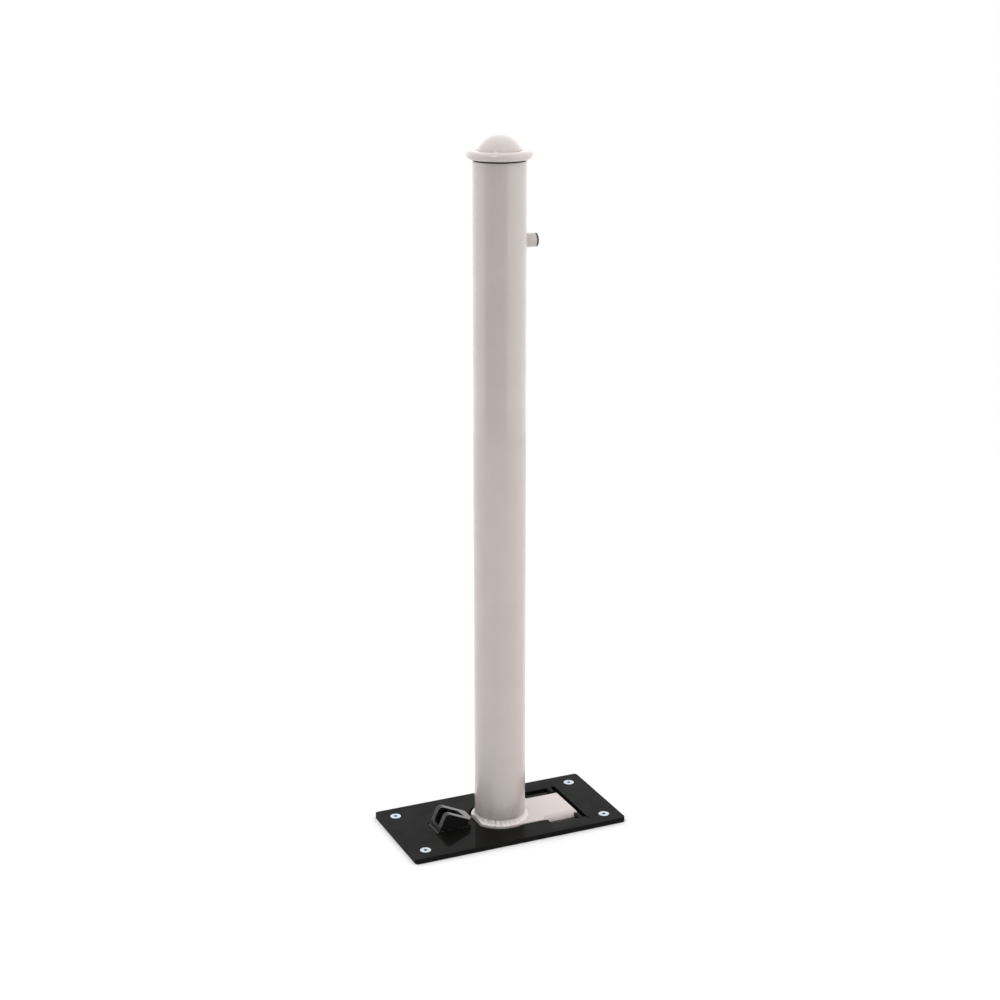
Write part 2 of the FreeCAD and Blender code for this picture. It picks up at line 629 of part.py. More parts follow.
def cap_spigot():
    """The cup that centres the cap in the top of the tube."""
    radius = POST_RADIUS - POST_WALL - RUNNING_CLEARANCE
    bottom = vec(0, 0, RING_BOTTOM - SPIGOT_DEPTH)
    cup = rod(radius, bottom, Z_AXIS, SPIGOT_DEPTH)
    cup = cup.cut(rod(radius - SPIGOT_WALL, bottom, Z_AXIS, SPIGOT_DEPTH - SPIGOT_TOP))
    hole = rod(CAP_BOLT_RADIUS + PRESS_CLEARANCE, bottom, Z_AXIS, SPIGOT_DEPTH)
    return one_solid(cup.cut(hole))


def cap_ring():
    """The round-edged ring that overhangs the tube all round."""
    edge_radius = CAP_RING_HEIGHT / 2.0
    edge_centre = CAP_RING_REACH - edge_radius
    hole = CAP_BOLT_RADIUS + PRESS_CLEARANCE
    groove_outer = DOME_RADIUS + CAP_GROOVE_WIDTH
    corners = [
        vec(edge_centre, 0, RING_TOP),
        vec(groove_outer + CAP_GROOVE_DEPTH, 0, RING_TOP),
        vec(groove_outer, 0, GROOVE_FLOOR),
        vec(hole, 0, GROOVE_FLOOR),
        vec(hole, 0, RING_BOTTOM),
        vec(edge_centre, 0, RING_BOTTOM),
    ]
    rounded = Part.Arc(corners[-1], vec(CAP_RING_REACH, 0, RING_BOTTOM + edge_radius), corners[0]).toShape()
    lines = [Part.makeLine(first, second) for first, second in zip(corners, corners[1:])]
    return one_solid(Part.Face(Part.Wire(lines + [rounded])).revolve(vec(0, 0, 0), Z_AXIS, 360))


def cap_dome():
    """The domed button on top of the cap ring."""
    apex = RING_TOP + DOME_HEIGHT
    sphere_radius = (DOME_RADIUS ** 2 + DOME_HEIGHT ** 2) / (2.0 * DOME_HEIGHT)
    ball = Part.makeSphere(sphere_radius, vec(0, 0, apex - sphere_radius))
    column = rod(DOME_RADIUS, vec(0, 0, GROOVE_FLOOR), Z_AXIS, DOME_HEIGHT + CAP_GROOVE_DEPTH)
    skirt = rod(DOME_RADIUS, vec(0, 0, GROOVE_FLOOR), Z_AXIS, CAP_GROOVE_DEPTH)
    dome = ball.common(column).cut(block(*[(-apex, apex)] * 2, (0, RING_TOP))).fuse(skirt)
    thread = rod(CAP_BOLT_RADIUS + PRESS_CLEARANCE, vec(0, 0, GROOVE_FLOOR), Z_AXIS, CAP_BOLT_GRIP)
    return one_solid(dome.cut(thread))


def cap_washer():
    """The plain washer under the cap bolt's head."""
    start = vec(0, 0, RING_BOTTOM - SPIGOT_TOP)
    return sleeve(CAP_WASHER_RADIUS, CAP_BOLT_RADIUS + PRESS_CLEARANCE, start, -Z_AXIS, CAP_WASHER_THICKNESS)


def cap_bolt():
    """The hexagon bolt that clamps spigot, ring and dome together from inside."""
    seat = RING_BOTTOM - SPIGOT_TOP - CAP_WASHER_THICKNESS
    shank = rod(CAP_BOLT_RADIUS, vec(0, 0, seat), Z_AXIS, GROOVE_FLOOR + CAP_BOLT_GRIP - seat)
    head = hexagon(CAP_BOLT_HEAD_ACROSS_FLATS, vec(0, 0, seat - CAP_BOLT_HEAD_HEIGHT), CAP_BOLT_HEAD_HEIGHT)
    return one_solid(shank.fuse(head))


# ---------------------------------------------------------------------- writing
def main():
    """Make every node and write its file."""
    os.makedirs("parts", exist_ok=True)
    save("base_plate", [base_plate()])
    save("ground_sheet", [ground_sheet()])
    save("anchor_screws", [anchor_screw(place) for place in anchor_places()])
    save("hinge_block_far", [hinge_block()])
    save("hinge_block_near", [mirrored(hinge_block())])
    save("pin_set_screws", [mirrored(set_screw()), set_screw()])
    save("hinge_pin", [hinge_pin()])
    save("thrust_washers", [mirrored(thrust_washer()), thrust_washer()])
    save("hinge_spacer_far", [hinge_spacer()])
    save("hinge_spacer_near", [mirrored(hinge_spacer())])
    save("hasp_pin", [hasp_pin()])
    save("hasp_pin_keepers", hasp_pin_keepers())
    save("hasp_keeper_screws", [keeper_screw(place, 0.0) for place in keeper_screw_places()])
    save("lock_hasp", [lock_hasp()])
    save("foot_plate", [foot_plate()])
    save("foot_pad", [foot_pad()])
    save("foot_weld", [foot_weld()])
    save("post_tube", [post_tube()])
    save("rest_stub", [rest_stub()])
    save("stub_weld", [stub_weld()])
    save("stub_buffer", [stub_buffer()])
    save("stub_buffer_screw", [buffer_screw(0.0)])
    save("cap_gasket", [cap_gasket()])
    save("cap_spigot", [cap_spigot()])
    save("cap_ring", [cap_ring()])
    save("cap_dome", [cap_dome()])
    save("cap_washer", [cap_washer()])
    save("cap_bolt", [cap_bolt()])


main()
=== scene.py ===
import logging
import math
import random
from dataclasses import dataclass
from enum import Enum

import bmesh
import bpy
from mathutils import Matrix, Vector


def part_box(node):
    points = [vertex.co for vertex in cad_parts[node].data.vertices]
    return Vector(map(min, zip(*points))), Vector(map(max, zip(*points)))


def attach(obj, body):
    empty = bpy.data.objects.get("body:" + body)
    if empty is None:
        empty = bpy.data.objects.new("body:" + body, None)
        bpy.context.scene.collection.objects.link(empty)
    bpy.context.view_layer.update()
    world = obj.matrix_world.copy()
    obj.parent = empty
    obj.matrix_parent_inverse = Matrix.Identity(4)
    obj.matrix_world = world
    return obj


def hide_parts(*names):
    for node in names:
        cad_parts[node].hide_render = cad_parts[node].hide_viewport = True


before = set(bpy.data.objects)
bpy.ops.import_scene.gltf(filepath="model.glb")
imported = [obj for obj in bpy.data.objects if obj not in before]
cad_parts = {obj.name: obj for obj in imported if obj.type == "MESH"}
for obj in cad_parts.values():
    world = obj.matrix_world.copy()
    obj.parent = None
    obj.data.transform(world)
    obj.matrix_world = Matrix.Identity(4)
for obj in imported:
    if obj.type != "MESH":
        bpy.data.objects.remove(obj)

LOG = logging.getLogger("bollard")
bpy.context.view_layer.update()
MM = 0.001
FULL_TURN = 2.0 * math.pi
QUARTER_TURN = math.pi / 2.0
Colour = tuple[float, float, float]
Point = tuple[float, float, float]


class Slot(Enum):
    """The record's material slots that pieces take their finish from."""

    PLATE = "plate_paint"
    HASP = "hasp_paint"
    POST = "post_paint"
    FOOT = "foot_paint"
    CAP = "cap_paint"
    ZINC = "zinc"
    STEEL = "dark_steel"
    RUBBER = "rubber"


class Grain(Enum):
    """How a metal's fine marks run, as the squeeze of space along each axis that draws them."""

    TURNED = (1.0, 1.0, 6.0)
    DRAWN = (1.0, 0.08, 1.0)


@dataclass(frozen=True)
class Mottle:
    """A cloudy pattern: the size of its clouds, in metres, and the part of its range that shows."""

    size: float
    detail: float
    low: float
    high: float
    stretch: Point = (1.0, 1.0, 1.0)


PAINT_CLOUDS = Mottle(0.05, 4.0, 0.3, 0.7)
PAINT_SPECKS = Mottle(0.0009, 2.0, 0.35, 0.75)
# Patches for the colour change near the ground: partly grime, partly painted shading.
PAINT_LOW_DIRT_AND_SHADING = Mottle(0.012, 6.0, 0.38, 0.72, (1.0, 1.0, 0.6))
# Patches that break up the edge colour, which is partly wear and partly painted light.
PAINT_EDGE_WEAR_AND_SHADING = Mottle(0.006, 5.0, 0.42, 0.68)
PAINT_SMUDGES = Mottle(0.035, 5.0, 0.35, 0.7)
WELD_SPATTER = Mottle(0.0022, 3.0, 0.45, 0.7)
METAL_STAINS = Mottle(0.005, 5.0, 0.4, 0.75)
RUBBER_DUST = Mottle(0.004, 6.0, 0.45, 0.8)
FLOOR_CLOUDS = Mottle(0.4, 3.0, 0.3, 0.7)


class Sheet:
    """A material and its node tree, with short ways to add and join nodes."""

    EDGE_SAMPLES = 6
    EDGE_STARTS = 0.995
    EDGE_FULL = 0.88

    def __init__(self, name: str) -> None:
        """Starts an empty material.

        Args:
            name: The material's name.
        """
        self.material = bpy.data.materials.new(name)
        self.material.use_nodes = True
        self.tree = self.material.node_tree
        self.shader = self.tree.nodes["Principled BSDF"]
        self.place = self.tree.nodes.new("ShaderNodeTexCoord").outputs["Object"]

    def set(self, **values: object) -> None:
        """Sets the shader's own sockets.

        Args:
            values: One value for each socket, its name in lower case with underscores for spaces.
        """
        names = {socket.name.lower().replace(" ", "_"): socket for socket in self.shader.inputs}
        for name, value in values.items():
            names[name].default_value = value

    def drive(self, socket: str, source: bpy.types.NodeSocket) -> None:
        """Joins an output to one of the shader's inputs.

        Args:
            socket: The input's name.
            source: The output that feeds it.
        """
        self.tree.links.new(source, self.shader.inputs[socket])

    def feed(self, socket: bpy.types.NodeSocket, value: object) -> None:
        """Fills one input of a node.

        Args:
            socket: The input.
            value: An output to join to it, or a plain value.
        """
        if isinstance(value, bpy.types.NodeSocket):
            self.tree.links.new(value, socket)
        else:
            socket.default_value = value

    def node(self, kind: str, **inputs: object) -> bpy.types.Node:
        """Adds a node and fills its inputs.

        Args:
            kind: The node's type name without its common start.
            inputs: A value or an output for each input, named as the input is.

        Returns:
            The new node.
        """
        made = self.tree.nodes.new("ShaderNode" + kind)
        for name, value in inputs.items():
            self.feed(made.inputs[name.replace("_", " ")], value)
        return made

    def noise(
        self,
        size: float,
        detail: float,
        stretch: Point = (1.0, 1.0, 1.0),
    ) -> bpy.types.NodeSocket:
        """Cloudy noise in the object's own space.

        Args:
            size: The size of one cloud, in metres.
            detail: How many finer layers it has.
            stretch: How much the space is squeezed along each axis first.

        Returns:
            The noise value, about 0.5 on average.
        """
        space = self.node("Mapping", Vector=self.place, Scale=stretch).outputs["Vector"]
        return self.node("TexNoise", Vector=space, Scale=1.0 / size, Detail=detail).outputs["Fac"]

    def mottle(self, pattern: Mottle, start: float = 0.0, end: float = 1.0) -> bpy.types.NodeSocket:
        """A cloudy pattern with only the chosen part of its range.

        Args:
            pattern: The pattern.
            start: What comes out at the low end of its range.
            end: What comes out at the high end.

        Returns:
            The pattern's value.
        """
        source = self.noise(pattern.size, pattern.detail, pattern.stretch)
        return self.ramp(source, pattern.low, pattern.high, start, end)

    def ramp(
        self,
        source: bpy.types.NodeSocket,
        low: float,
        high: float,
        start: float = 0.0,
        end: float = 1.0,
    ) -> bpy.types.NodeSocket:
        """A smooth change of value.

        Args:
            source: The value to read.
            low: The value at which the change starts.
            high: The value at which it ends.
            start: What comes out at low.
            end: What comes out at high.

        Returns:
            The changed value.
        """
        made = self.tree.nodes.new("ShaderNodeMapRange")
        made.interpolation_type = "SMOOTHSTEP"
        self.tree.links.new(source, made.inputs["Value"])
        for name, value in (("From Min", low), ("From Max", high), ("To Min", start), ("To Max", end)):
            made.inputs[name].default_value = value
        return made.outputs["Result"]

    def times(self, first: object, second: object) -> bpy.types.NodeSocket:
        """One value times another.

        Args:
            first: A number or an output.
            second: A number or an output.

        Returns:
            The product.
        """
        made = self.tree.nodes.new("ShaderNodeMath")
        made.operation = "MULTIPLY"
        for socket, value in zip(made.inputs, (first, second)):
            self.feed(socket, value)
        return made.outputs["Value"]

    def blend(self, share: bpy.types.NodeSocket, first: object, second: object) -> bpy.types.NodeSocket:
        """A mix of two colours.

        Args:
            share: How much of the second shows, from 0 to 1.
            first: A colour or an output.
            second: A colour or an output.

        Returns:
            The mixed colour.
        """
        made = self.tree.nodes.new("ShaderNodeMix")
        made.data_type = "RGBA"
        self.tree.links.new(share, made.inputs["Factor"])
        for name, value in (("A", first), ("B", second)):
            socket = next(s for s in made.inputs if s.name == name and s.type == "RGBA")
            self.feed(socket, value if isinstance(value, bpy.types.NodeSocket) else (*value, 1.0))
        return next(s for s in made.outputs if s.type == "RGBA")

    def height(self) -> bpy.types.NodeSocket:
        """The height above the object's own origin, in metres."""
        return self.node("SeparateXYZ", Vector=self.place).outputs["Z"]

    def edges(self, radius: float) -> bpy.types.NodeSocket:
        """How near a sharp edge a point is, from 0 on a flat to about 1 on the edge.

        Args:
            radius: How far from the edge it starts, in metres.

        Returns:
            The nearness.
        """
        bevel = self.tree.nodes.new("ShaderNodeBevel")
        bevel.inputs["Radius"].default_value = radius
        bevel.samples = self.EDGE_SAMPLES
        normal = self.tree.nodes.new("ShaderNodeNewGeometry").outputs["Normal"]
        dot = self.tree.nodes.new("ShaderNodeVectorMath")
        dot.operation = "DOT_PRODUCT"
        self.tree.links.new(bevel.outputs["Normal"], dot.inputs[0])
        self.tree.links.new(normal, dot.inputs[1])
        return self.ramp(dot.outputs["Value"], self.EDGE_STARTS, self.EDGE_FULL)

    def relief(self, *layers: tuple[bpy.types.NodeSocket, float]) -> None:
        """Gives the surface fine relief.

        Args:
            layers: Each layer's height and its depth in metres.
        """
        normal = None
        for height, depth in layers:
            bump = self.node("Bump", Height=height, Distance=depth, Strength=1.0)
            if normal is not None:
                self.tree.links.new(normal, bump.inputs["Normal"])
            normal = bump.outputs["Normal"]
        self.drive("Normal", normal)


@dataclass(frozen=True)
class PowderCoat:
    """Baked powder paint with an orange-peel skin, a colour change near the ground that is partly grime
    and partly painted shading, and a colour along sharp edges that is partly wear and partly painted
    light: a painted highlight where it is lighter, painted shade in creases where it is darker.
    """

    name: str
    colour: Colour
    deep: Colour
    edge_wear_and_shading: Colour
    roughness: float
    coat: float
    coat_roughness: float
    coat_ior: float = 1.5
    specular: float = 0.5
    speck_share: float = 0.35
    smudge_rise: float = 1.35
    peel: float = 0.0012
    peel_depth: float = 0.000012
    wave: float = 0.009
    low_dirt_and_shading: Colour = (0.16, 0.12, 0.09)
    low_dirt_and_shading_height: float = 0.0
    low_dirt_and_shading_share: float = 0.5
    edge_reach: float = 0.0009
    edge_share: float = 0.4
    spatter: float = 0.0

    def make(self) -> bpy.types.Material:
        """Builds the material.

        Returns:
            The finished material.
        """
        sheet = Sheet(self.name)
        body = sheet.blend(sheet.mottle(PAINT_CLOUDS), self.colour, self.deep)
        body = sheet.blend(sheet.mottle(PAINT_SPECKS, end=self.speck_share), body, self.deep)
        # Near the ground the colour changes in patches: partly grime, partly painted shading, darker on
        # the beige parts and lighter on the black plate's sides.
        if self.low_dirt_and_shading_height > 0.0:
            low_down = sheet.ramp(sheet.height(), self.low_dirt_and_shading_height, 0.0)
            spots = sheet.times(low_down, sheet.mottle(PAINT_LOW_DIRT_AND_SHADING))
            body = sheet.blend(sheet.times(spots, self.low_dirt_and_shading_share), body, self.low_dirt_and_shading)
        # Sharp edges take another colour in patches: partly wear, partly painted light, a painted
        # highlight where lighter and painted shade in creases where darker.
        edge_wear_and_shading_mask = sheet.times(sheet.edges(self.edge_reach), sheet.mottle(PAINT_EDGE_WEAR_AND_SHADING))
        sheet.drive("Base Color", sheet.blend(sheet.times(edge_wear_and_shading_mask, self.edge_share), body, self.edge_wear_and_shading))
        dullest = self.roughness * self.smudge_rise
        sheet.drive("Roughness", sheet.mottle(PAINT_SMUDGES, self.roughness, dullest))
        sheet.set(
            specular_ior_level=self.specular,
            coat_weight=self.coat,
            coat_roughness=self.coat_roughness,
            coat_ior=self.coat_ior,
        )
        layers = [
            (sheet.noise(self.peel, 1.0), self.peel_depth),
            (sheet.noise(self.wave, 2.0), self.peel_depth * 2.0),
        ]
        if self.spatter > 0.0:
            layers.append((sheet.mottle(WELD_SPATTER), self.spatter))
        sheet.relief(*layers)
        return sheet.material


@dataclass(frozen=True)
class BareMetal:
    """Plated or oiled metal with fine tool marks, stains and, where wanted, painted shade on everything
    below a given height, such as down in screw sockets.
    """

    name: str
    colour: Colour
    stain: Colour
    roughness: float
    grain: Grain
    metallic: float = 1.0
    shine: float = 0.5
    stain_share: float = 0.5
    mark_size: float = 0.0007
    mark_detail: float = 3.0
    mark_low: float = 0.3
    mark_high: float = 0.75
    mark_rise: float = 1.6
    mark_depth: float = 0.000015
    painted_hollow_shade_top: float = 0.0
    painted_hollow_shade_fade: float = 0.8 * MM
    painted_hollow_shade: Colour = (0.015, 0.018, 0.02)

    def make(self) -> bpy.types.Material:
        """Builds the material.

        Returns:
            The finished material.
        """
        sheet = Sheet(self.name)
        body = sheet.blend(sheet.mottle(METAL_STAINS, end=self.stain_share), self.colour, self.stain)
        # Below the given height the metal is darkened: painted shade in its hollows.
        if self.painted_hollow_shade_top > 0.0:
            sunk = sheet.ramp(sheet.height(), self.painted_hollow_shade_top, self.painted_hollow_shade_top - self.painted_hollow_shade_fade)
            body = sheet.blend(sunk, body, self.painted_hollow_shade)
        sheet.drive("Base Color", body)
        marks = sheet.noise(self.mark_size, self.mark_detail, self.grain.value)
        dullest = self.roughness * self.mark_rise
        rough = sheet.ramp(marks, self.mark_low, self.mark_high, self.roughness, dullest)
        sheet.drive("Roughness", rough)
        sheet.set(metallic=self.metallic, specular_ior_level=self.shine)
        sheet.relief((marks, self.mark_depth))
        return sheet.material


@dataclass(frozen=True)
class Rubber:
    """Moulded black rubber with a fine grain and pale dust."""

    name: str
    colour: Colour = (0.018, 0.018, 0.018)
    dust: Colour = (0.09, 0.085, 0.08)
    dust_share: float = 0.5
    grain_size: float = 0.0006
    grain_low: float = 0.3
    grain_high: float = 0.7
    grain_depth: float = 0.00004
    smooth: float = 0.55
    rough: float = 0.8

    def make(self) -> bpy.types.Material:
        """Builds the material.

        Returns:
            The finished material.
        """
        sheet = Sheet(self.name)
        dusty = sheet.mottle(RUBBER_DUST, end=self.dust_share)
        sheet.drive("Base Color", sheet.blend(dusty, self.colour, self.dust))
        grain = sheet.noise(self.grain_size, 2.0)
        rough = sheet.ramp(grain, self.grain_low, self.grain_high, self.smooth, self.rough)
        sheet.drive("Roughness", rough)
        sheet.relief((grain, self.grain_depth))
        return sheet.material


@dataclass(frozen=True)
class FloorPaint:
    """The plain pale floor."""

    name: str = "studio_floor"
    colour: Colour = (0.86, 0.86, 0.86)
    shade: Colour = (0.83, 0.83, 0.83)
    roughness: float = 0.9
    shine: float = 0.1

    def make(self) -> bpy.types.Material:
        """Builds the material.

        Returns:
            The finished material.
        """
        sheet = Sheet(self.name)
        sheet.drive("Base Color", sheet.blend(sheet.mottle(FLOOR_CLOUDS), self.colour, self.shade))
        sheet.set(roughness=self.roughness, specular_ior_level=self.shine)
        return sheet.material


class Paints:
    """Every finish on the bollard, made once and shared."""

    BEVEL_SEGMENTS = 3
    BEVEL_ANGLE = math.radians(40.0)

    def __init__(self) -> None:
        """Makes the materials, keyed by the record's slot, and a lighter copy of the beige paint for the
        weld bead, which paints a highlight onto it.
        """
        beige = dict(roughness=0.34, coat=0.75, coat_roughness=0.07, coat_ior=1.5)
        self.by_slot = {
            Slot.PLATE: PowderCoat(
                "black_plate_paint",
                colour=(0.0045, 0.0047, 0.0041),
                deep=(0.0034, 0.0035, 0.0031),
                # Lighter edges: a painted highlight line along the plate's edges, partly wear.
                edge_wear_and_shading=(0.05, 0.05, 0.048),
                roughness=0.5,
                coat=0.12,
                coat_roughness=0.03,
                specular=0.02,
                # Lighter patches on the side faces and well walls below 6 mm: painted sheen, partly
                # dust.
                low_dirt_and_shading=(0.05, 0.048, 0.042),
                low_dirt_and_shading_height=0.006,
                low_dirt_and_shading_share=0.3,
            ).make(),
            Slot.HASP: PowderCoat(
                "black_hasp_paint",
                colour=(0.008, 0.008, 0.0085),
                deep=(0.006, 0.006, 0.0065),
                # Much lighter edges: a painted highlight along the hasp's edges, partly wear.
                edge_wear_and_shading=(0.30, 0.30, 0.30),
                roughness=0.4,
                coat=0.75,
                coat_roughness=0.05,
                coat_ior=1.33,
                specular=0.1,
                edge_share=0.9,
            ).make(),
            Slot.POST: PowderCoat(
                "beige_post_paint",
                colour=(0.525, 0.465, 0.445),
                deep=(0.50, 0.44, 0.415),
                # Lighter edges: a painted highlight, partly wear.
                edge_wear_and_shading=(0.62, 0.57, 0.55),
                # Darker patches towards the post's foot: painted shade from the dark plate below, partly
                # grime.
                low_dirt_and_shading_height=0.06,
                low_dirt_and_shading_share=0.45,
                **beige,
            ).make(),
            Slot.FOOT: PowderCoat(
                "beige_foot_paint",
                colour=(0.585, 0.53, 0.51),
                deep=(0.56, 0.50, 0.48),
                # Lighter edges: a painted highlight, partly wear.
                edge_wear_and_shading=(0.68, 0.64, 0.62),
                roughness=0.4,
                coat=0.15,
                coat_roughness=0.1,
                specular=0.15,
                # Darker patches below 9 mm, down the foot's sides into the well: painted shade, partly
                # grime.
                low_dirt_and_shading_height=0.009,
                low_dirt_and_shading_share=0.3,
            ).make(),
            Slot.CAP: PowderCoat(
                "beige_cap_paint",
                colour=(0.58, 0.52, 0.495),
                deep=(0.56, 0.495, 0.47),
                # Lighter edges: a painted highlight, partly wear.
                edge_wear_and_shading=(0.66, 0.62, 0.60),
                **beige,
            ).make(),
            Slot.ZINC: BareMetal(
                "bright_zinc",
                colour=(0.56, 0.61, 0.65),
                stain=(0.36, 0.40, 0.45),
                roughness=0.3,
                grain=Grain.TURNED,
                # Painted shade on the zinc below 7.3 mm, down where the anchor screws sit in the plate.
                painted_hollow_shade_top=0.0073,
            ).make(),
            Slot.STEEL: BareMetal(
                "oiled_steel",
                colour=(0.010, 0.010, 0.011),
                stain=(0.006, 0.006, 0.006),
                roughness=0.5,
                grain=Grain.DRAWN,
                metallic=0.1,
                shine=0.1,
            ).make(),
            Slot.RUBBER: Rubber("black_rubber").make(),
        }
        # The weld bead's paint is a lighter copy of the beige paint: a painted highlight on the bead.
        self.weld = PowderCoat(
            "beige_weld_paint",
            colour=(0.74, 0.69, 0.67),
            deep=(0.68, 0.63, 0.61),
            # Darker edges: painted shade in the bead's ripples and toes, partly wear.
            edge_wear_and_shading=(0.36, 0.32, 0.30),
            roughness=0.3,
            coat=0.6,
            coat_roughness=0.08,
            specular=0.4,
            edge_share=0.6,
            spatter=0.0003,
        ).make()

    def dress(self, piece: bpy.types.Object, slot: Slot) -> None:
        """Gives a piece its finish.

        Args:
            piece: The CAD node or new piece.
            slot: The record's slot whose finish it takes.
        """
        if not piece.material_slots:
            piece.data.materials.append(self.by_slot[slot])
        for held in piece.material_slots:
            held.link = "OBJECT"
            held.material = self.by_slot[slot]

    def node(self, name: str, slot: Slot, bevel: float = 0.0) -> None:
        """Dresses a CAD node and breaks its sharp edges.

        Args:
            name: The node's name.
            slot: The record's slot whose finish it takes.
            bevel: How wide its broken edges are, in metres; 0 leaves them sharp.
        """
        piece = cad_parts[name]
        self.dress(piece, slot)
        if bevel > 0.0:
            broken = piece.modifiers.new("broken_edges", "BEVEL")
            broken.width = bevel
            broken.segments = self.BEVEL_SEGMENTS
            broken.limit_method = "ANGLE"
            broken.angle_limit = self.BEVEL_ANGLE
            broken.harden_normals = False
        LOG.info("dressed %s in %s", name, slot.value)


def new_piece(
    name: str,
    rings: list[list[Vector]],
    body: str,
    paints: Paints,
    slot: Slot,
) -> bpy.types.Object:
    """Skins a ring of sections into a closed piece that rides on a body.

    Args:
        name: The piece's name.
        rings: The sections in order, in metres in the model's frame, each with as many points.
        body: The CAD body that carries it.
        paints: The shared finishes.
        slot: The record's slot whose finish it takes.

    Returns:
        The new object.
    """
    mesh = bmesh.new()
    verts = [[mesh.verts.new(point) for point in ring] for ring in rings]
    for here, after in zip(verts, verts[1:] + verts[:1]):
        for index in range(len(here)):
            other = (index + 1) % len(here)
            mesh.faces.new((here[index], here[other], after[other], after[index]))
    bmesh.ops.recalc_face_normals(mesh, faces=mesh.faces)
    data = bpy.data.meshes.new(name)
    mesh.to_mesh(data)
    mesh.free()
    for polygon in data.polygons:
        polygon.use_smooth = True
    piece = bpy.data.objects.new(name, data)
    bpy.context.scene.collection.objects.link(piece)
    paints.dress(piece, slot)
    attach(piece, body)
    LOG.info("made %s with %d faces", name, len(data.polygons))
    return piece


@dataclass
class GroundPlate:
    """The bolted plate with its hinge blocks, ground sheet and anchor screws."""

    paints: Paints
    edge_break: float = 0.0007
    block_break: float = 0.0004
    screw_break: float = 0.0002

    def build(self) -> None:
        """Dresses the plate's nodes."""
        self.paints.node("base_plate", Slot.PLATE, self.edge_break)
        for side in ("near", "far"):
            self.paints.node("hinge_block_" + side, Slot.PLATE, self.block_break)
        self.paints.node("ground_sheet", Slot.RUBBER)
        self.paints.node("anchor_screws", Slot.ZINC, self.screw_break)


@dataclass
class Hinge:
    """The pin that the foot turns on, with its washers, spacers and set screws."""

    paints: Paints

    def build(self) -> None:
        """Dresses the hinge's nodes."""
        for name in (
            "hinge_pin",
            "thrust_washers",
            "hinge_spacer_near",
            "hinge_spacer_far",
            "pin_set_screws",
        ):
            self.paints.node(name, Slot.STEEL)


@dataclass
class Hasp:
    """The bent lock hasp on its pin."""

    paints: Paints
    edge_break: float = 0.0006

    def build(self) -> None:
        """Dresses the hasp's nodes."""
        self.paints.node("lock_hasp", Slot.HASP, self.edge_break)
        self.paints.node("hasp_pin", Slot.STEEL)
        self.paints.node("hasp_pin_keepers", Slot.STEEL)
        self.paints.node("hasp_keeper_screws", Slot.ZINC)


